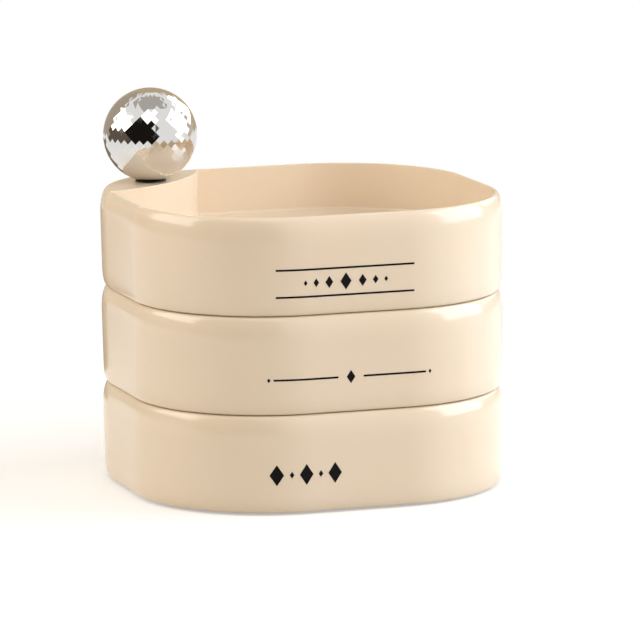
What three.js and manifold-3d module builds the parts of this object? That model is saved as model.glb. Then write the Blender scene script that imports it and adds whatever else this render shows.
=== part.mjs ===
// Rotating jewellery box. Three rounded-square trays are stacked on one bolt in a corner, and the
// upper two swing about it. A faceted mirror ball screws down on the bolt and holds the stack.
// Millimetres, +Z up. The origin is on the table, under the middle of the box.

import * as THREE from 'three';
import { mergeVertices } from 'three/addons/utils/BufferGeometryUtils.js';
import Module from 'manifold-3d';

const wasm = await Module();
wasm.setup();

// Box
const boxWidth = 120;
const boxDepth = 115;
const cornerRadius = 44;
const tierHeight = 30.3;
const tierGap = 0.4;

// Tray wall
const trayDepth = 15;
const wallThickness = 2.6;
const skirtThickness = 3.2;
const floorThickness = 2.2;
const rimInset = 2.2;
const rimRoundHeight = 7;
const draftInset = 0.3;
const footingInset = 1.6;
const footingRoundHeight = 6;

// Corner deck, which stands over the pivot
const postInset = 21.6;
const deckArcRadius = 57.6;
const deckArcLeft = 33.1;
const deckArcBack = 37.6;
const deckThickness = 2.4;
const deckWall = 2.2;
const bossRadius = 6;
const ribThickness = 1.6;

// Pivot bolt
const boltRadius = 2.5;
const boltHeadFlats = 8;
const boltHeadHeight = 3.5;
const boltTipChamfer = 0.6;
const boltEngagement = 12;

// Bushes and washers
const bushWall = 0.8;
const bushLength = 8;
const flangeOverhang = 1;
const flangeThickness = 1;
const washerRecess = 0.6;
const waveWasherWidth = 1.4;
const waveWasherThickness = 0.25;
const waveHeight = 0.12;
const waves = 3;

// Ball
const ballRadius = 15;
const ballFootRadius = 4.5;
const ballColumns = 30;
const collarRadius = 4.9;
const collarThickness = 0.5;
const insertWall = 1.2;
const insertLength = 15;

// Underside
const footRadius = 4.3;
const footThickness = 1.6;
const footProud = 0.8;
const coverThickness = 2;
const screwInset = 8;
const screwRadius = 1.2;
const screwLength = 7;
const screwHeadRadius = 2.3;
const screwHeadHeight = 1.1;
const screwSlotLength = 2.8;
const screwSlotWidth = 0.7;
const screwSlotDepth = 0.6;
const screwBossWall = 1.5;

// Fits and cutting
const fitGap = 0.1;
const seatGap = 0.05;
const recessGap = 0.2;
const overrun = 5;

// How finely curves are cut
const cornerSteps = 10;
const roundSteps = 4;
const roundSides = 24;
const deckArcSides = 96;
const waveSteps = 12;

// Derived places
const post = new THREE.Vector2(-boxWidth / 2 + postInset, boxDepth / 2 - postInset);
const ribDirections = [1, 3, 5].map((eighth) => eighth / 4 * Math.PI);
const deckArcCentre = post.clone().add(new THREE.Vector2(-deckArcLeft, deckArcBack));
const tierPitch = tierHeight + tierGap;
const bushBore = boltRadius + fitGap;
const bushRadius = bushBore + bushWall;
const flangeRadius = bushRadius + flangeOverhang;
const seatRadius = flangeRadius + recessGap;
const upperSeatDepth = flangeThickness + washerRecess + 2 * seatGap;
const coverTop = coverThickness + seatGap;
const floorTop = tierHeight - trayDepth;
const floorUnderside = floorTop - floorThickness;
const deckUnderside = tierHeight - deckThickness;
const deckTop = footProud + 2 * tierPitch + tierHeight;
const ballFoot = deckTop + collarThickness + seatGap;
const ballFootDrop = Math.sqrt(ballRadius ** 2 - ballFootRadius ** 2);
const insertRadius = bushBore + insertWall;
const screwPlaces = [
  { name: 'cover_screw_front', place: new THREE.Vector2(0, -boxDepth / 2 + screwInset) },
  { name: 'cover_screw_right', place: new THREE.Vector2(boxWidth / 2 - screwInset, 0) },
  { name: 'cover_screw_back', place: new THREE.Vector2(0, boxDepth / 2 - screwInset) },
  { name: 'cover_screw_left', place: new THREE.Vector2(-boxWidth / 2 + screwInset, 0) },
];
const footPlaces = [
  { name: 'foot_front_left', place: new THREE.Vector2(post.x, -post.y) },
  { name: 'foot_front_right', place: new THREE.Vector2(-post.x, -post.y) },
  { name: 'foot_back_right', place: new THREE.Vector2(-post.x, post.y) },
  { name: 'foot_back_left', place: post },
];

// Solids

function solidOf(geometry) {
  const bare = geometry.clone();
  bare.deleteAttribute('normal');
  bare.deleteAttribute('uv');
  const merged = mergeVertices(bare);
  return new wasm.Manifold(new wasm.Mesh({
    numProp: 3,
    vertProperties: new Float32Array(merged.attributes.position.array),
    triVerts: new Uint32Array(merged.index.array),
  }));
}

function geometryOf(solid) {
  const mesh = solid.getMesh();
  const geometry = new THREE.BufferGeometry();
  geometry.setAttribute('position', new THREE.BufferAttribute(mesh.vertProperties, 3));
  geometry.setIndex(new THREE.BufferAttribute(mesh.triVerts, 1));
  geometry.computeVertexNormals();
  return geometry;
}

// Rounded outline of the box, counter-clockwise, drawn in by inset.
function boxOutline(inset) {
  const halfWidth = boxWidth / 2 - inset;
  const halfDepth = boxDepth / 2 - inset;
  const radius = cornerRadius - inset;
  const points = [];
  for (let corner = 0; corner < 4; corner += 1) {
    const centreX = (corner < 2 ? 1 : -1) * (halfWidth - radius);
    const centreY = (corner % 3 === 0 ? -1 : 1) * (halfDepth - radius);
    for (let step = 0; step <= cornerSteps; step += 1) {
      const angle = (corner - 1 + step / cornerSteps) * Math.PI / 2;
      points.push(new THREE.Vector2(
        centreX + radius * Math.cos(angle),
        centreY + radius * Math.sin(angle),
      ));
    }
  }
  return points;
}

function circle(radius, centre, sides = roundSides) {
  return Array.from({ length: sides }, (_, side) => {
    const angle = 2 * Math.PI * side / sides;
    return new THREE.Vector2(
      centre.x + radius * Math.cos(angle),
      centre.y + radius * Math.sin(angle),
    );
  });
}

function prism(points, low, high) {
  const geometry = new THREE.ExtrudeGeometry(
    new THREE.Shape(points),
    { depth: high - low, bevelEnabled: false },
  );
  return solidOf(geometry.translate(0, 0, low));
}

function disc(radius, low, high, centre = post, sides = roundSides) {
  return prism(circle(radius, centre, sides), low, high);
}

function bar(length, width, low, high, centre, angle = 0) {
  const geometry = new THREE.BoxGeometry(length, width, high - low);
  geometry.rotateZ(angle);
  geometry.translate(centre.x, centre.y, (low + high) / 2);
  return solidOf(geometry);
}

// Solid through convex rings of equal length, each { points, z }, from the bottom up.
function loft(rings) {
  const count = rings[0].points.length;
  const positions = rings.flatMap(({ points, z }) => points.flatMap((p) => [p.x, p.y, z]));
  const index = [];
  for (let ring = 0; ring < rings.length - 1; ring += 1) {
    for (let side = 0; side < count; side += 1) {
      const a = ring * count + side;
      const b = ring * count + (side + 1) % count;
      index.push(a, b, b + count, a, b + count, a + count);
    }
  }
  const last = (rings.length - 1) * count;
  for (let side = 1; side < count - 1; side += 1) {
    index.push(0, side + 1, side, last, last + side, last + side + 1);
  }
  const geometry = new THREE.BufferGeometry();
  geometry.setAttribute('position', new THREE.Float32BufferAttribute(positions, 3));
  geometry.setIndex(index);
  return solidOf(geometry);
}

// Trays

// The wall leans in a little going down, and rounds in at both ends, which leaves a soft groove
// between two tiers.
function trayBlank() {
  const rings = [];
  for (let step = 0; step <= roundSteps; step += 1) {
    const angle = step / roundSteps * Math.PI / 2;
    rings.push({
      points: boxOutline(draftInset + (footingInset - draftInset) * (1 - Math.sin(angle))),
      z: footingRoundHeight * (1 - Math.cos(angle)),
    });
  }
  for (let step = 0; step <= roundSteps; step += 1) {
    const angle = step / roundSteps * Math.PI / 2;
    rings.push({
      points: boxOutline(rimInset * (1 - Math.cos(angle))),
      z: tierHeight - rimRoundHeight * (1 - Math.sin(angle)),
    });
  }
  return loft(rings);
}

function deckCylinder(radius) {
  return disc(radius, -overrun, tierHeight + overrun, deckArcCentre, deckArcSides);
}

function trayCavity() {
  return prism(boxOutline(wallThickness), floorTop, tierHeight + overrun)
    .subtract(deckCylinder(deckArcRadius));
}

// Under the deck the hollow reaches higher than under the floor.
function undersideHollow() {
  return prism(boxOutline(skirtThickness), -overrun, deckUnderside)
    .intersect(deckCylinder(deckArcRadius - deckWall))
    .add(prism(boxOutline(skirtThickness), -overrun, floorUnderside));
}

// Boss round the bolt, with three ribs that tie it to the skirt and the deck wall.
function pivotBoss(low) {
  const ribs = ribDirections.map((angle) => {
    const reach = new THREE.Vector2(Math.cos(angle), Math.sin(angle)).multiplyScalar(postInset / 2);
    return bar(postInset, ribThickness, low, deckUnderside + seatGap, post.clone().add(reach), angle);
  });
  return ribs
    .reduce((sum, rib) => sum.add(rib))
    .intersect(deckCylinder(deckArcRadius - deckWall / 2))
    .intersect(prism(boxOutline(wallThickness), low, deckUnderside + seatGap))
    .add(disc(bossRadius, low, deckUnderside + seatGap));
}

function shellWithPivot(pivotLow) {
  return trayBlank()
    .subtract(trayCavity())
    .subtract(undersideHollow())
    .add(pivotBoss(pivotLow));
}

function swingingTray() {
  return shellWithPivot(0)
    .subtract(disc(bushRadius + fitGap, -overrun, tierHeight + overrun))
    .subtract(disc(seatRadius, -overrun, flangeThickness + seatGap))
    .subtract(disc(seatRadius, tierHeight - upperSeatDepth, tierHeight + overrun));
}

function hexagon(acrossFlats) {
  return circle(acrossFlats / 2 / Math.cos(Math.PI / 6), post, 6);
}

function bottomTray() {
  let tray = shellWithPivot(coverTop);
  screwPlaces.forEach(({ place }) => {
    tray = tray
      .add(disc(screwRadius + screwBossWall, coverTop, floorUnderside + seatGap, place))
      .subtract(disc(screwRadius + fitGap, -overrun, coverTop + screwLength, place));
  });
  return tray
    .subtract(disc(boltRadius + fitGap, -overrun, tierHeight + overrun))
    .subtract(disc(seatRadius, tierHeight - washerRecess, tierHeight + overrun))
    .subtract(prism(
      hexagon(boltHeadFlats + 2 * fitGap),
      -overrun,
      coverTop + boltHeadHeight + 2 * seatGap,
    ));
}

// Underside

function footRecess(place) {
  return disc(footRadius + recessGap, -overrun, footThickness - footProud + seatGap, place);
}

function foot(place) {
  return disc(footRadius, -footProud, footThickness - footProud, place);
}

function baseCover() {
  let cover = prism(boxOutline(skirtThickness + recessGap), 0, coverThickness);
  footPlaces.forEach(({ place }) => {
    cover = cover.subtract(footRecess(place));
  });
  screwPlaces.forEach(({ place }) => {
    cover = cover
      .subtract(disc(screwRadius + recessGap, -overrun, coverThickness + overrun, place))
      .subtract(disc(screwHeadRadius + recessGap, -overrun, screwHeadHeight + seatGap, place));
  });
  return cover;
}

// The head is sunk in the cover, and has a cross slot.
function coverScrew(place) {
  const slot = bar(screwSlotLength, screwSlotWidth, -overrun, screwSlotDepth, place)
    .add(bar(screwSlotWidth, screwSlotLength, -overrun, screwSlotDepth, place));
  return disc(screwHeadRadius, 0, screwHeadHeight, place)
    .add(disc(screwRadius, 0, screwLength, place))
    .subtract(slot);
}

// Bushes, washers and bolt

// Flanged sleeve, flange down.
function bush() {
  return disc(flangeRadius, 0, flangeThickness)
    .add(disc(bushRadius, 0, bushLength))
    .subtract(disc(bushBore, -overrun, bushLength + overrun));
}

function thrustWasher() {
  return disc(flangeRadius, 0, washerRecess + tierGap - seatGap)
    .subtract(disc(bushBore, -overrun, overrun));
}

// Springy steel ring that rises and falls in waves round the bolt.
function waveWasher() {
  const radii = [bushBore + fitGap, bushBore + fitGap + waveWasherWidth];
  const steps = waves * waveSteps;
  const positions = [];
  const index = [];
  for (let step = 0; step < steps; step += 1) {
    const angle = 2 * Math.PI * step / steps;
    const middle = washerRecess / 2 + waveHeight * Math.sin(waves * angle);
    const corners = [[0, -1], [0, 1], [1, 1], [1, -1]];
    corners.forEach(([side, up]) => positions.push(
      post.x + radii[side] * Math.cos(angle),
      post.y + radii[side] * Math.sin(angle),
      middle + up * waveWasherThickness / 2,
    ));
    for (let corner = 0; corner < 4; corner += 1) {
      const next = (corner + 1) % 4;
      const here = step * 4;
      const there = (step + 1) % steps * 4;
      index.push(here + corner, here + next, there + next);
      index.push(here + corner, there + next, there + corner);
    }
  }
  const geometry = new THREE.BufferGeometry();
  geometry.setAttribute('position', new THREE.Float32BufferAttribute(positions, 3));
  geometry.setIndex(index);
  return solidOf(geometry);
}

function pivotBolt() {
  const headLow = footProud + coverTop + seatGap;
  const tip = ballFoot + boltEngagement;
  const shank = loft([
    { points: circle(boltRadius, post), z: headLow },
    { points: circle(boltRadius, post), z: tip - boltTipChamfer },
    { points: circle(boltRadius - boltTipChamfer, post), z: tip },
  ]);
  return prism(hexagon(boltHeadFlats), headLow, headLow + boltHeadHeight).add(shank);
}

// Ball

// Sphere of diamond facets: each ring of corners is turned half a facet from the one below.
function facetedBall() {
  const positions = [0, 0, -ballRadius];
  const index = [];
  const rings = ballColumns - 1;
  const cornerAt = (ring, column) => 1 + ring * ballColumns + (column + ballColumns) % ballColumns;
  for (let ring = 0; ring < rings; ring += 1) {
    const latitude = (ring + 1) / ballColumns * Math.PI - Math.PI / 2;
    for (let column = 0; column < ballColumns; column += 1) {
      const angle = 2 * Math.PI * (column + ring % 2 / 2) / ballColumns;
      positions.push(
        ballRadius * Math.cos(latitude) * Math.cos(angle),
        ballRadius * Math.cos(latitude) * Math.sin(angle),
        ballRadius * Math.sin(latitude),
      );
    }
  }
  positions.push(0, 0, ballRadius);
  const top = 1 + rings * ballColumns;
  for (let column = 0; column < ballColumns; column += 1) {
    index.push(0, cornerAt(0, column + 1), cornerAt(0, column));
    index.push(top, cornerAt(rings - 1, column), cornerAt(rings - 1, column + 1));
    for (let ring = 0; ring < rings - 1; ring += 1) {
      const shift = ring % 2;
      const above = column + shift;
      index.push(cornerAt(ring, column), cornerAt(ring, column + 1), cornerAt(ring + 1, above));
      index.push(cornerAt(ring, column), cornerAt(ring + 1, above), cornerAt(ring + 1, above - 1));
    }
  }
  const geometry = new THREE.BufferGeometry();
  geometry.setAttribute('position', new THREE.Float32BufferAttribute(positions, 3));
  geometry.setIndex(index);
  return solidOf(geometry.translate(post.x, post.y, ballFoot + ballFootDrop));
}

function ballKnob() {
  return facetedBall()
    .subtract(disc(2 * ballRadius, ballFoot - 2 * ballRadius, ballFoot))
    .subtract(disc(insertRadius + fitGap, ballFoot - overrun, ballFoot + insertLength + seatGap));
}

function ballInsert() {
  return disc(insertRadius, ballFoot, ballFoot + insertLength)
    .subtract(disc(bushBore, ballFoot - overrun, ballFoot + boltEngagement + fitGap));
}

function ballCollar() {
  return disc(collarRadius, deckTop, deckTop + collarThickness)
    .subtract(disc(bushBore, deckTop - overrun, deckTop + overrun));
}

// Finishes
const creamPlastic = { color: 0xead8bc, roughness: 0.16, metalness: 0 };
const chrome = { color: 0xd4d2cf, roughness: 0.05, metalness: 1 };
const steel = { color: 0xa9abae, roughness: 0.35, metalness: 1 };
const brass = { color: 0xc9a552, roughness: 0.3, metalness: 1 };
const nylon = { color: 0xf1efe8, roughness: 0.45, metalness: 0 };
const blackNylon = { color: 0x151313, roughness: 0.4, metalness: 0 };
const rubber = { color: 0x2b2a29, roughness: 0.8, metalness: 0 };

// Assembly

function piece(name, solid, finish, z = 0) {
  const mesh = new THREE.Mesh(geometryOf(solid), new THREE.MeshStandardMaterial(finish));
  mesh.name = name;
  mesh.position.z = z;
  return mesh;
}

// A tier turns about the bolt when its group turns about Z.
function tier(level, ...pieces) {
  const turntable = new THREE.Group();
  turntable.position.set(post.x, post.y, footProud + level * tierPitch);
  pieces.forEach((mesh) => {
    mesh.position.x -= post.x;
    mesh.position.y -= post.y;
    turntable.add(mesh);
  });
  return turntable;
}

function upperBush(name) {
  const mesh = piece(name, bush(), nylon, tierHeight - washerRecess - seatGap);
  mesh.rotation.x = Math.PI;
  mesh.position.y = 2 * post.y;
  return mesh;
}

const box = new THREE.Group();

box.add(tier(
  0,
  piece('bottom_tray', bottomTray(), creamPlastic),
  piece('base_cover', baseCover(), creamPlastic),
  ...screwPlaces.map(({ name, place }) => piece(name, coverScrew(place), steel)),
  ...footPlaces.map(({ name, place }) => piece(name, foot(place), rubber)),
  piece('lower_thrust_washer', thrustWasher(), nylon, tierHeight - washerRecess),
));

box.add(tier(
  1,
  piece('middle_tray', swingingTray(), creamPlastic),
  piece('middle_lower_bush', bush(), nylon),
  upperBush('middle_upper_bush'),
  piece('upper_thrust_washer', thrustWasher(), nylon, tierHeight - washerRecess),
));

box.add(tier(
  2,
  piece('top_tray', swingingTray(), creamPlastic),
  piece('top_lower_bush', bush(), nylon),
  upperBush('top_upper_bush'),
  piece('wave_washer', waveWasher(), steel, tierHeight - washerRecess),
));

box.add(
  piece('pivot_bolt', pivotBolt(), steel),
  piece('ball_collar', ballCollar(), blackNylon),
  piece('ball_insert', ballInsert(), brass),
  piece('ball_knob', ballKnob(), chrome),
);

export default box;
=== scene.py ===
import math
import bpy
from mathutils import Matrix, Vector


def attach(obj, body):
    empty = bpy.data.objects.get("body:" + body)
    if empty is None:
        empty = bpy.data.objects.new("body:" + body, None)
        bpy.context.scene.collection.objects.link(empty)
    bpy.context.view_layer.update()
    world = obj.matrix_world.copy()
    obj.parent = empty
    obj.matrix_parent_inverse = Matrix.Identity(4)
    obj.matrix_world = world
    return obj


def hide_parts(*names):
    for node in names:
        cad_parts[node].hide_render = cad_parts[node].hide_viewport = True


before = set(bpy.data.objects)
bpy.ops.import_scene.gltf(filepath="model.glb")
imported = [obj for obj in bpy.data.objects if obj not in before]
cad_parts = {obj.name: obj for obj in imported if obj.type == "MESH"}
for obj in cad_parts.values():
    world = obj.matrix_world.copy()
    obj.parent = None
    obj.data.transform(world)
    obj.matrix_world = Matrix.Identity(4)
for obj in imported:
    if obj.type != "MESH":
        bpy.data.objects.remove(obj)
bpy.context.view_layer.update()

# rotating jewellery box: three moulded trays, stacked, that swing about a post under a mirror ball

mm = 0.001
print("stage: frame loaded")

# sizes in millimetres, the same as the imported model's
box = {
    "width": 120,
    "depth": 115,
    "cornerRadius": 44,
    "tierHeight": 30.3,
    "tierPitch": 30.7,
    "footProud": 0.8,
    "postX": -38.4,
    "postY": 35.9,
}

# how the pieces are worked, in millimetres if nothing else is said
work = {
    "overrun": 5,  # how far a tool reaches past what it cuts
    "levelWithin": 0.01,
    "circleWithin": 0.08,
    "mergeWithin": 0.002,
    "facing": 0.99,  # the least z of a normal that counts as straight up
    "cornerSteps": 26,  # flat steps round each corner of the box
    "smoothAngle": 32,  # degrees
}


# helpers for modelling by hand

def deselectAll():
    if bpy.context.object and bpy.context.object.mode != "OBJECT":
        bpy.ops.object.mode_set(mode="OBJECT")
    bpy.ops.object.select_all(action="DESELECT")


def activate(piece):
    deselectAll()
    piece.select_set(True)
    bpy.context.view_layer.objects.active = piece


# names the active piece, and puts its place, turn and size into its mesh
def settle(name):
    piece = bpy.context.object
    piece.name = name
    piece.data.name = name
    bpy.ops.object.transform_apply(location=True, rotation=True, scale=True)
    return piece


def addCube(name, size, centre, turn=0):
    deselectAll()
    bpy.ops.mesh.primitive_cube_add(
        size=1, location=[c * mm for c in centre], rotation=(0, 0, turn), scale=[s * mm for s in size])
    return settle(name)


def addCylinder(name, radius, low, high, x, y, sides=64):
    deselectAll()
    bpy.ops.mesh.primitive_cylinder_add(
        vertices=sides, radius=radius * mm, depth=(high - low) * mm,
        location=(x * mm, y * mm, (low + high) / 2 * mm))
    return settle(name)


def atPost(name, radius, low, high, sides=64):
    return addCylinder(name, radius, low, high, box["postX"], box["postY"], sides)


# goes into edit mode with the faces or edges selected that pass the test
def pick(piece, kind, test):
    activate(piece)
    bpy.ops.object.mode_set(mode="EDIT")
    bpy.ops.mesh.select_mode(type=kind)
    bpy.ops.mesh.select_all(action="DESELECT")
    bpy.ops.object.mode_set(mode="OBJECT")
    for element in piece.data.polygons if kind == "FACE" else piece.data.edges:
        element.select = test(element)
    bpy.ops.object.mode_set(mode="EDIT")


# picks the faces that look straight up, or with way -1 straight down
def pickFacing(piece, way):
    pick(piece, "FACE", lambda face: face.normal.z * way > work["facing"])


# picks edges by their two ends, in millimetres
def pickEdges(piece, test):
    pick(piece, "EDGE", lambda edge: test(*(piece.data.vertices[i].co / mm for i in edge.vertices)))


def editAll(piece):
    activate(piece)
    bpy.ops.object.mode_set(mode="EDIT")
    bpy.ops.mesh.select_all(action="SELECT")


def leaveEdit():
    bpy.ops.object.mode_set(mode="OBJECT")


def level(start, end, height):
    return max(abs(start.z - height), abs(end.z - height)) < work["levelWithin"]


def onCircle(point, x, y, radius):
    return abs(math.hypot(point.x - x, point.y - y) - radius) < work["circleWithin"]


def roundEdges(piece, test, width, steps=3):
    pickEdges(piece, test)
    bpy.ops.mesh.bevel(offset=width * mm, offset_type="OFFSET", segments=steps, affect="EDGES")
    leaveEdit()


# insets the picked faces step by step, each step as (inward, along) in millimetres
def insetBySteps(steps):
    for inward, along in steps:
        bpy.ops.mesh.inset(thickness=inward * mm, depth=along * mm)


# a block with the box's plan, its walls moved in
def addRoundedBlock(name, inset, low, high):
    block = addCube(
        name, (box["width"] - 2 * inset, box["depth"] - 2 * inset, high - low), (0, 0, (low + high) / 2))
    roundEdges(
        block, lambda start, end: not level(start, end, start.z),
        box["cornerRadius"] - inset, work["cornerSteps"])
    return block


# works the tool into the piece and deletes the tool
def join(piece, tool, operation):
    modifier = piece.modifiers.new("join", "BOOLEAN")
    modifier.operation = operation
    modifier.solver = "EXACT"
    modifier.object = tool
    activate(piece)
    bpy.ops.object.modifier_apply(modifier=modifier.name)
    bpy.data.objects.remove(tool)


def cut(piece, tool):
    join(piece, tool, "DIFFERENCE")


# merges doubled points first, then turns every face outwards
def mergeDoubles(piece):
    editAll(piece)
    bpy.ops.mesh.remove_doubles(threshold=work["mergeWithin"] * mm)
    bpy.ops.mesh.normals_make_consistent(inside=False)
    leaveEdit()


# soft where faces meet at less than the angle, in degrees, and sharp elsewhere
def smooth(piece, angle=work["smoothAngle"]):
    activate(piece)
    bpy.ops.object.shade_smooth_by_angle(angle=math.radians(angle))
    modifier = piece.modifiers.new("evenNormals", "WEIGHTED_NORMAL")
    modifier.keep_sharp = True
    bpy.ops.object.modifier_apply(modifier=modifier.name)


# moves a settled piece, in millimetres
def moveBy(piece, x, y, z):
    piece.location = (x * mm, y * mm, z * mm)
    activate(piece)
    settle(piece.name)


def copyPiece(piece, name, x=0, y=0, z=0):
    activate(piece)
    bpy.ops.object.duplicate(linked=False)
    twin = bpy.context.object
    twin.name = name
    moveBy(twin, x, y, z)
    return twin


# gives the piece its material and its body, and hides the CAD nodes that it stands for
def finishPiece(piece, body, slotName, material, *nodes):
    piece.data.materials.clear()
    piece.data.materials.append(material)
    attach(piece, body)
    if nodes:
        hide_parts(*nodes)


# materials

noiseReach = (0.3, 0.7)  # nearly all of Blender's noise lies between these


def toLinear(hexColour):
    channels = [int(hexColour[i:i + 2], 16) / 255 for i in (1, 3, 5)]
    return [c / 12.92 if c <= 0.04045 else ((c + 0.055) / 1.055) ** 2.4 for c in channels] + [1]


# adds a node, sets its properties and sockets, and links what is given as a socket
def addNode(tree, kind, properties=None, sockets=None):
    node = tree.nodes.new(kind)
    for key, value in (properties or {}).items():
        setattr(node, key, value)
    for key, value in (sockets or {}).items():
        if isinstance(value, bpy.types.NodeSocket):
            tree.links.new(value, node.inputs[key])
        else:
            node.inputs[key].default_value = value
    return node


def newMaterial(name):
    material = bpy.data.materials.new(name)
    material.use_nodes = True
    tree = material.node_tree
    tree.nodes.clear()
    return material, tree


# noise on object coordinates: size is how far apart its waves lie, in millimetres, and up is the same
# for the upright direction, where that differs
def addNoise(tree, noise):
    across = 1 / (noise["size"] * mm)
    upward = 1 / (noise.get("up", noise["size"]) * mm)
    place = addNode(tree, "ShaderNodeTexCoord")
    spaced = addNode(tree, "ShaderNodeMapping", {"vector_type": "POINT"}, {
        "Vector": place.outputs["Object"], "Scale": (across, across, upward)})
    waves = addNode(tree, "ShaderNodeTexNoise", None, {
        "Vector": spaced.outputs["Vector"], "Scale": 1.0, "Detail": noise["detail"]})
    return waves.outputs["Fac"]


# the colour may drift towards a deeper one, the gloss varies between two roughnesses, the reliefs lie
# one over the other, and the shader's other sockets are set as given; 6 and 7 are the two colours of a
# Mix node that is set to RGBA
def addFinish(name, finish):
    material, tree = newMaterial(name)
    colour = toLinear(finish["colour"])
    if "drift" in finish:
        mixed = addNode(tree, "ShaderNodeMix", {"data_type": "RGBA"}, {
            "Factor": addNoise(tree, finish["drift"]), 6: colour, 7: toLinear(finish["deeper"])})
        colour = mixed.outputs[2]
    gloss = addNode(tree, "ShaderNodeMapRange", None, {
        "Value": addNoise(tree, finish["gloss"]), "From Min": noiseReach[0], "From Max": noiseReach[1],
        "To Min": finish["roughness"][0], "To Max": finish["roughness"][1]})
    sockets = {"Base Color": colour, "Roughness": gloss.outputs["Result"]}
    for relief in finish["reliefs"]:
        bump = addNode(tree, "ShaderNodeBump", None, {
            "Height": addNoise(tree, relief), "Distance": relief["height"] * mm,
            "Strength": relief["strength"]})
        if "Normal" in sockets:
            tree.links.new(sockets["Normal"], bump.inputs["Normal"])
        sockets["Normal"] = bump.outputs["Normal"]
    sockets.update(finish["shader"])
    shader = addNode(tree, "ShaderNodeBsdfPrincipled", None, sockets)
    addNode(tree, "ShaderNodeOutputMaterial", None, {"Surface": shader.outputs["BSDF"]})
    return material


# ABS, injection moulded in a polished mould: clear gloss, a trace of colour drift, orange peel, and
# faint flow lines that lie level
creamPlastic = addFinish("creamAbsMoulded", {
    "colour": "#ebdac3",
    "deeper": "#e8d5ba",
    "drift": {"size": 38, "detail": 1},
    "gloss": {"size": 22, "detail": 2},
    "roughness": (0.1275, 0.1725),
    "reliefs": [
        {"size": 5, "detail": 2, "height": 0.012, "strength": 0.5},
        {"size": 55, "up": 2.4, "detail": 2, "height": 0.05, "strength": 0.5},
    ],
    "shader": {
        "IOR": 1.54,
        "Subsurface Weight": 0.25,
        "Subsurface Radius": (1.0, 0.82, 0.64),
        "Subsurface Scale": 2 * mm,
    },
})

# chromium plated over moulded facets: a mirror, its plate a little uneven
ballChrome = addFinish("chromePlatedFacets", {
    "colour": "#dcdad7",
    "gloss": {"size": 4, "detail": 2},
    "roughness": (0.02, 0.06),
    "reliefs": [{"size": 2.2, "detail": 0, "height": 0.01, "strength": 0.35}],
    "shader": {"Metallic": 1},
})


# rolled, plated or turned metal: its fine marks, drawn coarser than they are so that they show
def machinedMetal(name, colour, roughness):
    marks = {"size": 0.35, "detail": 3, "height": 0.01, "strength": 0.4}
    return addFinish(name, {
        "colour": colour, "gloss": marks, "roughness": roughness, "reliefs": [marks],
        "shader": {"Metallic": 1}})


zincSteel = machinedMetal("zincPlatedSteel", "#b4b5b8", (0.256, 0.4))
turnedBrass = machinedMetal("turnedBrass", "#cfae62", (0.224, 0.35))


# moulded or printed matter with a fine even texture, which takes the shine off
def mattFinish(name, colour, roughness, size, height, shader):
    texture = {"size": size, "detail": 3, "height": height, "strength": 0.6}
    return addFinish(name, {
        "colour": colour, "gloss": texture, "roughness": roughness, "reliefs": [texture],
        "shader": shader})


# nylon as it comes and dyed black, both satin from the mould, then soft rubber and dull ink; the collar's
# black nylon is partly painted shade, standing in for the dark crevice where the ball sits on the deck
whiteNylon = mattFinish("naturalNylonMoulded", "#f1efe8", (0.378, 0.462), 0.5, 0.01, {"IOR": 1.53})
blackNylonAsCreviceShade = mattFinish(
    "blackNylonAndCreviceShade", "#151311", (0.45, 0.55), 0.5, 0.01, {"IOR": 1.53, "Specular IOR Level": 0.3})
footRubber = mattFinish("rubberMoulded", "#2b2a29", (0.702, 0.858), 0.4, 0.03, {"IOR": 1.52})
printInk = mattFinish(
    "padPrintedInk", "#0d0b0b", (0.54, 0.66), 0.3, 0.003, {"IOR": 1.4, "Specular IOR Level": 0.15})
print("stage: materials made")


# trays

# millimetres; the deck's arc, the boss and the holes by their radius
tray = {
    "depthInside": 15,
    "wall": 2.6,
    "skirt": 3.2,
    "floor": 2.2,
    "floorFillet": 0.9,
    "floorFilletSteps": 5,
    "rimInset": 2.2,
    "rimRound": 7,
    "rimEdge": 0.14,
    "bandHeight": 1,
    "draft": 0.3,
    "footingInset": 1.6,
    "footingRound": 6,
    "roundSteps": 9,
    "beadInset": 0.65,
    "beadSide": 0.08,
    "beadWidth": 0.6,
    "beadHeight": 0.28,
    "deckArc": 57.6,
    "deckArcX": -71.5,
    "deckArcY": 73.5,
    "deckArcSides": 360,
    "deckThickness": 2.4,
    "deckWall": 2.2,
    "boss": 6,
    "bossBite": 0.1,  # how far the boss and its ribs go into the deck
    "rib": 1.6,
    "ribLength": 21.6,
    "ribTurns": (1, 3, 5),  # in eighths of a turn
    "bushHole": 3.5,
    "seatHole": 4.6,
    "lowerSeat": 1.05,
    "upperSeat": 1.7,
    "coverTop": 2.05,
    "boltHole": 2.6,
    "washerSeat": 0.6,
    "headHole": 4.85,
    "headHoleTop": 5.65,
    "headSides": 6,
}


# (inward, along) steps of a quarter ellipse, from a wall that stands to a face that lies flat
def roundingSteps(inward, along):
    steps = []
    for step in range(tray["roundSteps"]):
        before, after = (angle / tray["roundSteps"] * math.pi / 2 for angle in (step, step + 1))
        steps.append((
            inward * (math.cos(before) - math.cos(after)), along * (math.sin(after) - math.sin(before))))
    return steps


# the closed outer form: a straight band at the widest place, then insets up to the rim and down to the
# foot; the bead round the underside runs on the rim below and closes the seam to the eye
def addTrayForm(name, beaded):
    bandTop = box["tierHeight"] - tray["rimRound"]
    bandLow = bandTop - tray["bandHeight"]
    form = addRoundedBlock(name, 0, bandLow, bandTop)
    pickFacing(form, 1)
    insetBySteps(roundingSteps(tray["rimInset"], tray["rimRound"]))
    pickFacing(form, -1)
    insetBySteps([(tray["draft"], bandLow - tray["footingRound"])])
    insetBySteps(roundingSteps(tray["footingInset"] - tray["draft"], tray["footingRound"]))
    if beaded:
        insetBySteps([
            (tray["beadInset"], 0), (tray["beadSide"], tray["beadHeight"]),
            (tray["beadWidth"], 0), (tray["beadSide"], -tray["beadHeight"])])
    leaveEdit()
    return form


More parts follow.
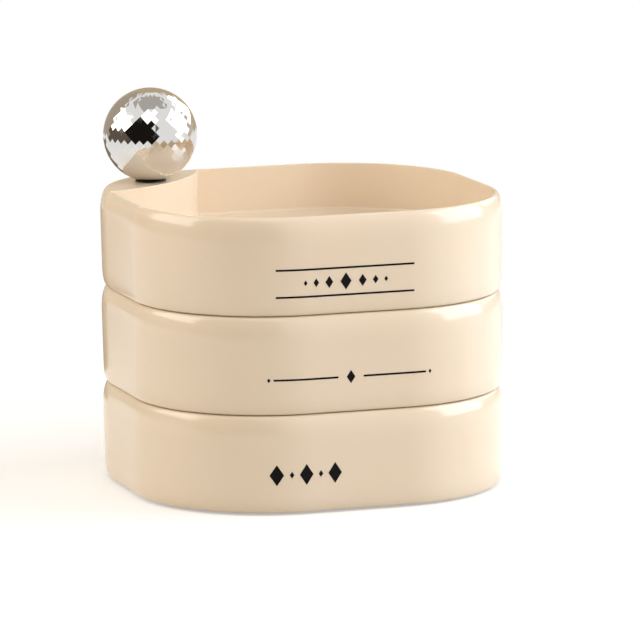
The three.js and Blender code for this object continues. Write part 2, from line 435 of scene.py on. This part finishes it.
# the deck fills the back left corner inside this circle
def addDeckCylinder(radius):
    reach = 2 * work["overrun"]
    return addCylinder(
        "deckCylinder", radius, -reach, box["tierHeight"] + reach,
        tray["deckArcX"], tray["deckArcY"], tray["deckArcSides"])


# the boss round the post, and ribs from it that end in the tray's walls
def addBoss(low, high):
    boss = atPost("boss", tray["boss"], low, high)
    reach = tray["ribLength"] / 2
    for eighths in tray["ribTurns"]:
        angle = eighths * math.pi / 4
        rib = addCube(
            "rib", (tray["ribLength"], tray["rib"], high - low),
            (box["postX"] + reach * math.cos(angle), box["postY"] + reach * math.sin(angle),
             (high + low) / 2), angle)
        limit = addRoundedBlock("ribLimit", tray["wall"], -work["overrun"], box["tierHeight"])
        join(rib, limit, "INTERSECT")
        join(rib, addDeckCylinder(tray["deckArc"] - tray["deckWall"] / 2), "INTERSECT")
        join(boss, rib, "UNION")
    return boss


# the boss starts at bossLow: at the foot, or on the base cover in the lowest tray
def addTray(name, bossLow, beaded):
    overrun = work["overrun"]
    top = box["tierHeight"]
    floorTop = top - tray["depthInside"]
    floorLow = floorTop - tray["floor"]
    deckLow = top - tray["deckThickness"]
    shell = addTrayForm(name, beaded)

    cavity = addRoundedBlock("cavity", tray["wall"], floorTop, top + overrun)
    cut(cavity, addDeckCylinder(tray["deckArc"]))
    roundEdges(
        cavity, lambda start, end: level(start, end, floorTop),
        tray["floorFillet"], tray["floorFilletSteps"])
    cut(shell, cavity)

    cut(shell, addRoundedBlock("underHollow", tray["skirt"], -overrun, floorLow))
    pocket = addRoundedBlock("deckPocket", tray["skirt"], -overrun, deckLow)
    join(pocket, addDeckCylinder(tray["deckArc"] - tray["deckWall"]), "INTERSECT")
    cut(shell, pocket)
    join(shell, addBoss(bossLow, deckLow + tray["bossBite"]), "UNION")
    return shell


def onCavityEdge(point):
    halfX = box["width"] / 2 - tray["wall"]
    halfY = box["depth"] / 2 - tray["wall"]
    radius = box["cornerRadius"] - tray["wall"]
    overX = max(0, abs(point.x) - (halfX - radius))
    overY = max(0, abs(point.y) - (halfY - radius))
    if overX and overY:
        offWall = abs(math.hypot(overX, overY) - radius)
    else:
        offWall = min(abs(abs(point.x) - halfX), abs(abs(point.y) - halfY))
    onDeck = onCircle(point, tray["deckArcX"], tray["deckArcY"], tray["deckArc"])
    return offWall < work["circleWithin"] or onDeck


# rounds the inner crest of the rim and the deck's edge
def finishTray(shell):
    top = box["tierHeight"]
    mergeDoubles(shell)
    roundEdges(
        shell, lambda start, end: level(start, end, top) and onCavityEdge((start + end) / 2),
        tray["rimEdge"])
    smooth(shell)


def addTrays():
    low = -work["overrun"]
    top = box["tierHeight"]
    high = top + work["overrun"]
    swinging = addTray("swingingTray", 0, True)
    cut(swinging, atPost("bushHole", tray["bushHole"], low, high))
    cut(swinging, atPost("lowerSeat", tray["seatHole"], low, tray["lowerSeat"]))
    cut(swinging, atPost("upperSeat", tray["seatHole"], top - tray["upperSeat"], high))
    finishTray(swinging)
    middle = copyPiece(swinging, "middleTray", z=box["footProud"] + box["tierPitch"])
    upper = copyPiece(swinging, "upperTray", z=box["footProud"] + 2 * box["tierPitch"])
    bpy.data.objects.remove(swinging)

    lowest = addTray("bottomTray", tray["coverTop"], False)
    cut(lowest, atPost("boltHole", tray["boltHole"], low, high))
    cut(lowest, atPost("washerSeat", tray["seatHole"], top - tray["washerSeat"], high))
    cut(lowest, atPost("headHole", tray["headHole"], low, tray["headHoleTop"], tray["headSides"]))
    finishTray(lowest)
    moveBy(lowest, 0, 0, box["footProud"])

    finishPiece(upper, "top_tier", "cream_plastic", creamPlastic, "top_tray")
    finishPiece(middle, "middle_tier", "cream_plastic", creamPlastic, "middle_tray")
    finishPiece(lowest, "base", "cream_plastic", creamPlastic, "bottom_tray")
    return lowest, middle, upper


lowestTray, middleTray, upperTray = addTrays()
print("stage: trays modelled")


# print: fine rules and diamonds in black ink on the front of each tray

# millimetres
printing = {
    "proud": 0.03,
    "thickness": 0.045,
    "ruleHeight": 0.6,
    "diamondWidth": 0.66,  # of its height
    "grid": 1.0,
    "startY": -62,  # in front of the trays
}
# rules as (x, z, length), diamonds as (x, z, height)
upperRow = {
    "rules": [(-4.5, 76.4, 44.4), (-4.5, 68.0, 44.4)],
    "diamonds": [(-4.5, 72.2, 5.4)] + [
        (-4.5 + side * x, 72.2, height)
        for side in (-1, 1) for x, height in ((5.4, 3.8), (9.6, 2.7), (13, 1.8))],
}
middleRow = {
    "rules": [(-17.4, 42.4, 20.4), (11.2, 42.4, 20.4)],
    "diamonds": [(-3.1, 42.4, 4.2), (-29, 42.4, 1.5), (22.8, 42.4, 1.5)],
}
lowerRow = {
    "rules": [],
    "diamonds": [(x, 12.8, 6.6) for x in (-26.9, -17.7, -8.5)] + [(x, 12.8, 2.2) for x in (-22.3, -13.1)],
}


# a flat shape that stands in front of the trays, a rule from a square or a diamond from a circle
def addFlatShape(name, x, z, width, height):
    deselectAll()
    place = {"rotation": (math.pi / 2, 0, 0), "location": (x * mm, printing["startY"] * mm, z * mm)}
    if name == "rule":
        bpy.ops.mesh.primitive_plane_add(size=1, **place)
    else:
        bpy.ops.mesh.primitive_circle_add(vertices=4, radius=0.5, fill_type="NGON", **place)
    bpy.context.object.scale = (width * mm, height * mm, 1)
    return settle(name)


# cuts the ink on a grid, so that it can follow the wall
def cutOnGrid(ink):
    places = [point.co / mm for point in ink.data.vertices]
    editAll(ink)
    for axis, normal in ((0, (1, 0, 0)), (2, (0, 0, 1))):
        low = min(place[axis] for place in places)
        high = max(place[axis] for place in places)
        for step in range(1, math.ceil((high - low) / printing["grid"])):
            bpy.ops.mesh.select_all(action="SELECT")
            where = (low + step * printing["grid"]) * mm
            bpy.ops.mesh.bisect(plane_co=[where * n for n in normal], plane_no=normal)
    leaveEdit()


def layOnTray(ink, carrier):
    wrap = ink.modifiers.new("lay", "SHRINKWRAP")
    wrap.target = carrier
    wrap.wrap_method = "PROJECT"
    wrap.use_project_y = True
    wrap.use_positive_direction = True
    wrap.use_negative_direction = False
    wrap.wrap_mode = "ABOVE_SURFACE"
    wrap.offset = printing["proud"] * mm
    bpy.ops.object.modifier_apply(modifier="lay")
    film = ink.modifiers.new("film", "SOLIDIFY")
    film.thickness = printing["thickness"] * mm
    film.offset = -1
    bpy.ops.object.modifier_apply(modifier="film")


def addPrint(name, row, carrier, body):
    shapes = [addFlatShape("rule", x, z, length, printing["ruleHeight"]) for x, z, length in row["rules"]]
    for x, z, height in row["diamonds"]:
        shapes.append(addFlatShape("diamond", x, z, height * printing["diamondWidth"], height))
    activate(shapes[0])
    for shape in shapes:
        shape.select_set(True)
    bpy.ops.object.join()
    ink = settle(name)
    cutOnGrid(ink)
    layOnTray(ink, carrier)
    finishPiece(ink, body, None, printInk)


addPrint("upperPrint", upperRow, upperTray, "top_tier")
addPrint("middlePrint", middleRow, middleTray, "middle_tier")
addPrint("lowerPrint", lowerRow, lowestTray, "base")
print("stage: print laid on")


# mirror ball

# millimetres, holes by their radius; columns is how many facets go round the ball
ball = {
    "radius": 15,
    "columns": 36,
    "footRadius": 4.5,
    "footLevel": 93.05,
    "insertHole": 3.9,
    "insertDepth": 15.05,
    "collarRadius": 4.9,
    "collarHole": 2.6,
    "collarLow": 92.5,
    "collarThickness": 0.5,
    "collarEdge": 0.15,
    "collarSides": 96,
}


# every square of the globe is poked and its own sides are dissolved, which leaves the diamonds between
def addBall():
    radius = ball["radius"]
    drop = math.sqrt(radius ** 2 - ball["footRadius"] ** 2)
    deselectAll()
    bpy.ops.mesh.primitive_uv_sphere_add(
        segments=ball["columns"], ring_count=ball["columns"] // 2, radius=radius * mm)
    globe = settle("facetedBall")
    corners = len(globe.data.vertices)
    editAll(globe)
    bpy.ops.mesh.poke(center_mode="MEDIAN")
    leaveEdit()
    for point in globe.data.vertices:
        point.co = point.co.normalized() * radius * mm
    pick(globe, "EDGE", lambda edge: max(edge.vertices) < corners)
    bpy.ops.mesh.dissolve_edges(use_verts=False)
    editAll(globe)
    bpy.ops.mesh.bisect(
        plane_co=(0, 0, -drop * mm), plane_no=(0, 0, 1), use_fill=True, clear_inner=True)
    leaveEdit()
    insertTop = ball["insertDepth"] - drop
    cut(globe, addCylinder("insertHole", ball["insertHole"], -radius - work["overrun"], insertTop, 0, 0))
    moveBy(globe, box["postX"], box["postY"], ball["footLevel"] + drop)
    finishPiece(globe, "base", "chrome_plate", ballChrome, "ball_knob")


# a thin black collar under the ball; its black is partly painted shade for the crevice where the ball
# meets the deck
def addCollar():
    low = ball["collarLow"]
    rim = (box["postX"], box["postY"], ball["collarRadius"])
    collar = atPost(
        "ballCollar", ball["collarRadius"], low, low + ball["collarThickness"], ball["collarSides"])
    cut(collar, atPost("collarHole", ball["collarHole"], low - work["overrun"], low + work["overrun"]))
    roundEdges(collar, lambda start, end: (
        level(start, end, start.z) and onCircle(start, *rim) and onCircle(end, *rim)), ball["collarEdge"])
    smooth(collar)
    finishPiece(collar, "base", "black_nylon", blackNylonAsCreviceShade, "ball_collar")


addBall()
addCollar()
print("stage: ball modelled")


# underside

# millimetres, holes and recesses by their radius
underside = {
    "coverInset": 3.4,
    "coverThickness": 2,
    "coverEdge": 0.35,
    "footX": 38.4,
    "footY": 35.9,
    "footRadius": 4.3,
    "footSides": 72,
    "footThickness": 1.6,
    "footRecess": 4.5,
    "footRecessDepth": 0.85,
    "footEdge": 0.4,
    "footEdgeSteps": 4,
    "footSmoothAngle": 40,
    "dishInset": 1.3,
    "dishSide": 0.3,
    "dishDepth": 0.25,
    "screwInset": 8,
    "screwHole": 1.4,
    "shankRadius": 1.2,
    "shankLow": 0.5,
    "shankTop": 7,
    "shankSides": 32,
    "headRadius": 2.3,
    "headSides": 48,
    "headHeight": 1.1,
    "headEdge": 0.25,
    "headRecess": 2.5,
    "headRecessDepth": 1.15,
    "slotLength": 2.8,
    "slotWidth": 0.7,
    "slotDepth": 0.6,
}
# the sides of the box on which they lie, as (x, y)
footPlaces = {"front_left": (-1, -1), "front_right": (1, -1), "back_right": (1, 1), "back_left": (-1, 1)}
screwPlaces = {"front": (0, -1), "right": (1, 0), "back": (0, 1), "left": (-1, 0)}


def screwSpot(sideX, sideY):
    inset = underside["screwInset"]
    return sideX * (box["width"] / 2 - inset), sideY * (box["depth"] / 2 - inset)


def addBaseCover():
    low = -work["overrun"]
    cover = addRoundedBlock("baseCover", underside["coverInset"], 0, underside["coverThickness"])
    roundEdges(cover, lambda start, end: level(start, end, 0), underside["coverEdge"])
    for sideX, sideY in footPlaces.values():
        x, y = sideX * underside["footX"], sideY * underside["footY"]
        cut(cover, addCylinder(
            "footRecess", underside["footRecess"], low, underside["footRecessDepth"], x, y))
    for sideX, sideY in screwPlaces.values():
        x, y = screwSpot(sideX, sideY)
        cut(cover, addCylinder("screwHole", underside["screwHole"], low, -low, x, y))
        cut(cover, addCylinder(
            "headRecess", underside["headRecess"], low, underside["headRecessDepth"], x, y))
    mergeDoubles(cover)
    smooth(cover)
    moveBy(cover, 0, 0, box["footProud"])
    finishPiece(cover, "base", "cream_plastic", creamPlastic, "base_cover")


# a foot with a rounded edge and a shallow dish under it
def addFeet():
    rim = (0, 0, underside["footRadius"])
    foot = addCylinder(
        "foot", underside["footRadius"], 0, underside["footThickness"], 0, 0, underside["footSides"])
    pickFacing(foot, -1)
    insetBySteps([(underside["dishInset"], 0), (underside["dishSide"], -underside["dishDepth"])])
    leaveEdit()
    roundEdges(foot, lambda start, end: (
        level(start, end, 0) and onCircle(start, *rim) and onCircle(end, *rim)),
        underside["footEdge"], underside["footEdgeSteps"])
    smooth(foot, underside["footSmoothAngle"])
    for place, (sideX, sideY) in footPlaces.items():
        name = "foot" + place.title().replace("_", "")
        twin = copyPiece(foot, name, sideX * underside["footX"], sideY * underside["footY"])
        finishPiece(twin, "base", "rubber", footRubber, "foot_" + place)
    bpy.data.objects.remove(foot)


# a screw with its head down, a rounded head edge and a cross slot
def addScrews():
    screw = addCylinder(
        "screw", underside["headRadius"], 0, underside["headHeight"], 0, 0, underside["headSides"])
    roundEdges(screw, lambda start, end: level(start, end, 0), underside["headEdge"])
    shank = addCylinder(
        "shank", underside["shankRadius"], underside["shankLow"], underside["shankTop"], 0, 0,
        underside["shankSides"])
    join(screw, shank, "UNION")
    length, width, depth = (underside[key] for key in ("slotLength", "slotWidth", "slotDepth"))
    cross = addCube("cross", (length, width, 2 * depth), (0, 0, 0))
    join(cross, addCube("crossArm", (width, length, 2 * depth), (0, 0, 0)), "UNION")
    cut(screw, cross)
    mergeDoubles(screw)
    smooth(screw)
    for place, (sideX, sideY) in screwPlaces.items():
        x, y = screwSpot(sideX, sideY)
        twin = copyPiece(screw, "coverScrew" + place.title(), x, y, box["footProud"])
        finishPiece(twin, "base", "steel", zincSteel, "cover_screw_" + place)
    bpy.data.objects.remove(screw)


addBaseCover()
addFeet()
addScrews()
print("stage: underside modelled")


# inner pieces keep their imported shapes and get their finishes

innerFinishes = {
    "pivot_bolt": zincSteel,
    "wave_washer": zincSteel,
    "ball_insert": turnedBrass,
    "lower_thrust_washer": whiteNylon,
    "upper_thrust_washer": whiteNylon,
    "middle_lower_bush": whiteNylon,
    "middle_upper_bush": whiteNylon,
    "top_lower_bush": whiteNylon,
    "top_upper_bush": whiteNylon,
}
for nodeName, finish in innerFinishes.items():
    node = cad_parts[nodeName]
    node.data.materials.clear()
    node.data.materials.append(finish)


# studio

# places in millimetres, angles in degrees
studio = {
    "cameraPlace": (-553.3, -1677.9, 349.1),
    "cameraAround": -18.438,
    "cameraUp": 9.586,
    "cameraRoll": -0.479,
    "lens": 318.7,
    "sensorWidth": 36,
    "lampsAim": (0, 0, 60),
    "worldColour": "#fffaf5",
    "worldLight": 0.25,
    "floorColour": "#d3cfc8",
    "floorGlow": 0.42,
    "floorSize": 12000,
    "fadeStart": 120,
    "fadeEnd": 360,
}

# soft boxes; chrome and gloss show the mirrored ones
lamps = {
    "keyRight": {
        "place": (1020, -332, 570), "size": (1000, 1000), "power": 14.8, "colour": "#eaf2ff",
        "mirrored": True},
    "softLeft": {
        "place": (-1060, 284, 580), "size": (1100, 900), "power": 9.7, "colour": "#fff8ef",
        "mirrored": True},
    "softFront": {
        "place": (117, -940, 860), "size": (1100, 800), "power": 5.2, "colour": "#fff9f1",
        "mirrored": False},
    "softBack": {
        "place": (200, 1050, 760), "size": (1200, 900), "power": 3.2, "colour": "#fffbf7",
        "mirrored": False},
    "window": {
        "place": (-235, -707, 1125), "size": (700, 520), "power": 1.0, "colour": "#fffbf7",
        "mirrored": True},
}

# the room that chrome and gloss reflect: upright cards by the (x, y) of their two ends and the levels
# between which they stand, flat ones by the (x, y) of their corners and one level
uprightCards = {
    "darkRoom": {"ends": [(-637, -125), (-71, -583)], "levels": (1, 545), "colour": "#1c1917"},
    "darkLeft": {"ends": [(-315, 365), (-447, -97)], "levels": (50, 165), "colour": "#6a5d52"},
    "greyBack": {"ends": [(-1500, 700), (0, 900)], "levels": (-50, 1150), "colour": "#b7a997"},
    "warmBack": {"ends": [(0, 900), (1500, 1100)], "levels": (-50, 1150), "colour": "#c8b597"},
    "warmRight": {"ends": [(1500, 1100), (1500, 150)], "levels": (-50, 1150), "colour": "#d8cbb9"},
    "brightRight": {
        "ends": [(1221, 330), (803, 940)], "levels": (330, 1300), "colour": "#fffdf9", "strength": 2.6},
}
flatCards = {
    "greyTop": {
        "corners": [(-600, -330), (600, -330), (600, 700), (-600, 700)], "level": 1400,
        "colour": "#bfbbb5"},
    "brownFloor": {
        "corners": [(-104, 192), (20, 165), (190, 760), (-290, 760)], "level": 2, "colour": "#8d7d6c"},
    "whiteFloor": {
        "corners": [(62, -40), (700, -290), (700, 420), (62, 60)], "level": 2, "colour": "#fffdfa",
        "strength": 1.5},
}


def addCamera():
    around, up, roll = (math.radians(studio[key]) for key in ("cameraAround", "cameraUp", "cameraRoll"))
    back = Vector((math.sin(around) * math.cos(up), -math.cos(around) * math.cos(up), math.sin(up)))
    right = Vector((math.cos(around), math.sin(around), 0))
    top = back.cross(right)
    rolledRight = right * math.cos(roll) + top * math.sin(roll)
    rolledTop = top * math.cos(roll) - right * math.sin(roll)
    turn = Matrix((rolledRight, rolledTop, back)).transposed().to_4x4()
    bpy.ops.object.camera_add()
    camera = bpy.context.object
    camera.matrix_world = Matrix.Translation(Vector(studio["cameraPlace"]) * mm) @ turn
    camera.data.sensor_width = studio["sensorWidth"]
    camera.data.lens = studio["lens"]
    bpy.context.scene.camera = camera


paperWhite = (1, 1, 1, 1)


# what camera, mirror and glass see, as one value from 0 to 1
def seenRays(tree):
    path = addNode(tree, "ShaderNodeLightPath")
    seen = addNode(tree, "ShaderNodeMath", {"operation": "MAXIMUM"}, {
        0: path.outputs["Is Camera Ray"], 1: path.outputs["Is Glossy Ray"]})
    return addNode(tree, "ShaderNodeMath", {"operation": "MAXIMUM"}, {
        0: seen.outputs[0], 1: path.outputs["Is Transmission Ray"]}).outputs[0]


# white paper: it takes the box's shadow near by, and is plain white further out
def addFloor():
    deselectAll()
    bpy.ops.mesh.primitive_plane_add(size=studio["floorSize"] * mm)
    floor = settle("floor")
    material, tree = newMaterial("whitePaperFloor")
    paper = addNode(tree, "ShaderNodeBsdfDiffuse", None, {"Color": toLinear(studio["floorColour"])})
    glow = addNode(tree, "ShaderNodeEmission", None, {
        "Color": paperWhite, "Strength": studio["floorGlow"]})
    near = addNode(tree, "ShaderNodeAddShader", None, {0: paper.outputs[0], 1: glow.outputs[0]})
    white = addNode(tree, "ShaderNodeEmission", None, {"Color": paperWhite, "Strength": 1})
    place = addNode(tree, "ShaderNodeTexCoord")
    reach = addNode(tree, "ShaderNodeVectorMath", {"operation": "LENGTH"}, {0: place.outputs["Object"]})
    fade = addNode(tree, "ShaderNodeMapRange", {"interpolation_type": "SMOOTHSTEP"}, {
        "Value": reach.outputs["Value"],
        "From Min": studio["fadeStart"] * mm, "From Max": studio["fadeEnd"] * mm})
    eye = addNode(tree, "ShaderNodeMixShader", None, {
        0: fade.outputs["Result"], 1: near.outputs[0], 2: white.outputs[0]})
    choice = addNode(tree, "ShaderNodeMixShader", None, {
        0: seenRays(tree), 1: paper.outputs[0], 2: eye.outputs[0]})
    addNode(tree, "ShaderNodeOutputMaterial", None, {"Surface": choice.outputs[0]})
    floor.data.materials.append(material)


# white to the eye and to reflections, a plain soft level to everything that it lights
def addWorld():
    world = bpy.data.worlds.new("studio")
    bpy.context.scene.world = world
    world.use_nodes = True
    tree = world.node_tree
    tree.nodes.clear()
    soft = addNode(tree, "ShaderNodeBackground", None, {
        "Color": toLinear(studio["worldColour"]), "Strength": studio["worldLight"]})
    white = addNode(tree, "ShaderNodeBackground", None, {"Color": paperWhite, "Strength": 1})
    choice = addNode(tree, "ShaderNodeMixShader", None, {
        0: seenRays(tree), 1: soft.outputs[0], 2: white.outputs[0]})
    addNode(tree, "ShaderNodeOutputWorld", None, {"Surface": choice.outputs[0]})


def addLamp(name, place, size, power, colour, mirrored):
    deselectAll()
    bpy.ops.object.light_add(type="AREA", location=[c * mm for c in place])
    lamp = bpy.context.object
    lamp.name = name
    lamp.data.shape = "RECTANGLE"
    lamp.data.size = size[0] * mm
    lamp.data.size_y = size[1] * mm
    lamp.data.energy = power
    lamp.data.color = toLinear(colour)[:3]
    direction = Vector(studio["lampsAim"]) - Vector(place)
    lamp.rotation_euler = direction.to_track_quat("-Z", "Y").to_euler()
    lamp.visible_camera = False
    lamp.visible_glossy = mirrored


# a card that only reflections see: it lights nothing and casts no shadow
def addCard(name, corners, colour, strength):
    deselectAll()
    bpy.ops.mesh.primitive_plane_add(size=2)
    card = bpy.context.object
    card.name = name
    for point in card.data.vertices:
        across, along = (point.co.x + 1) / 2, (point.co.y + 1) / 2
        low = Vector(corners[0]).lerp(Vector(corners[1]), across)
        high = Vector(corners[3]).lerp(Vector(corners[2]), across)
        point.co = low.lerp(high, along) * mm
    material, tree = newMaterial(name + "Card")
    glow = addNode(tree, "ShaderNodeEmission", None, {"Color": toLinear(colour), "Strength": strength})
    addNode(tree, "ShaderNodeOutputMaterial", None, {"Surface": glow.outputs[0]})
    card.data.materials.append(material)
    card.visible_camera = False
    card.visible_diffuse = False
    card.visible_shadow = False


def addCards():
    for name, card in uprightCards.items():
        start, end = card["ends"]
        low, high = card["levels"]
        corners = [(*start, low), (*end, low), (*end, high), (*start, high)]
        addCard(name, corners, card["colour"], card.get("strength", 1))
    for name, card in flatCards.items():
        corners = [(*corner, card["level"]) for corner in card["corners"]]
        addCard(name, corners, card["colour"], card.get("strength", 1))


bpy.context.scene.view_settings.view_transform = "Standard"
addCamera()
addFloor()
addWorld()
for lampName, lampSettings in lamps.items():
    addLamp(lampName, **lampSettings)
addCards()
print("stage: studio set")
